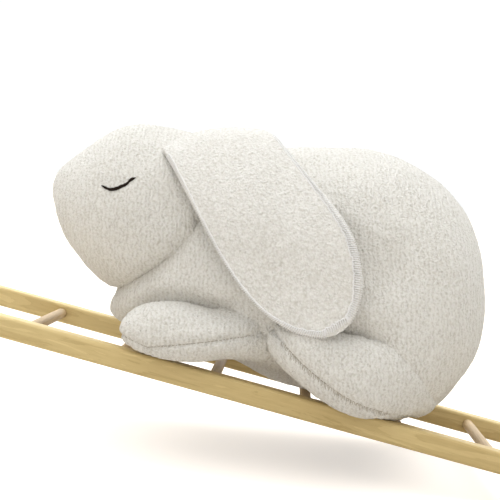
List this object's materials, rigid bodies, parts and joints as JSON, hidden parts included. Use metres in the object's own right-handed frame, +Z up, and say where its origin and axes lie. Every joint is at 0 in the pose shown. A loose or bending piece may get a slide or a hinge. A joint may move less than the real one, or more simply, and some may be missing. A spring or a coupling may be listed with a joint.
{
  "type": "plush rabbit on ladder frame",
  "caption": "Stuffed terry rabbit with hanging ears, lying on a flat wooden ladder frame of square rails and round rungs.",
  "frame": {"origin": "middle of the ladder frame on the plane that the rails stand on", "axes": "+Z up, +X along the rails towards the rump, nose to -X, left side to -Y"},
  "size_m": [0.4, 0.159, 0.1455],
  "materials": {
    "rail_wood": "bare light softwood, sanded",
    "rung_wood": "bare greyish dowel",
    "terry": "off-white knitted terry with short loops",
    "ear_terry": "off-white terry with a finer nap, overlocked edge",
    "filling": "loose fibre filling",
    "eye_thread": "dark brown embroidery thread"
  },
  "bodies": {
    "ladder": {"left_rail": "rail_wood", "right_rail": "rail_wood", "rung_1": "rung_wood", "rung_2": "rung_wood", "rung_3": "rung_wood", "rung_4": "rung_wood", "rung_5": "rung_wood", "rung_6": "rung_wood", "rung_7": "rung_wood", "rung_8": "rung_wood"},
    "rabbit": {"body_cover": "terry", "head_cover": "terry", "left_front_paw_cover": "terry", "left_hind_leg_cover": "terry", "right_front_paw_cover": "terry", "right_hind_leg_cover": "terry", "body_filling": "filling", "head_filling": "filling", "left_front_paw_filling": "filling", "left_hind_leg_filling": "filling", "right_front_paw_filling": "filling", "right_hind_leg_filling": "filling", "left_eye": "eye_thread", "right_eye": "eye_thread"},
    "left_ear": {"left_ear_outer": "ear_terry", "left_ear_lining": "ear_terry"},
    "right_ear": {"right_ear_outer": "ear_terry", "right_ear_lining": "ear_terry"}
  },
  "joints": [
    {"name": "rabbit_lift", "type": "slide", "parent": "ladder", "child": "rabbit", "axis": [0, 0, 1], "range_m": [0, 0.08]},
    {"name": "left_ear_swing", "type": "hinge", "parent": "rabbit", "child": "left_ear", "pos_m": [-0.0566, -0.0296, 0.1282], "axis": [-0.877, -0.2965, -0.3781], "range_deg": [0, 75]},
    {"name": "right_ear_swing", "type": "hinge", "parent": "rabbit", "child": "right_ear", "pos_m": [-0.0566, 0.0296, 0.1282], "axis": [0.877, -0.2965, 0.3781], "range_deg": [0, 75]}
  ]
}
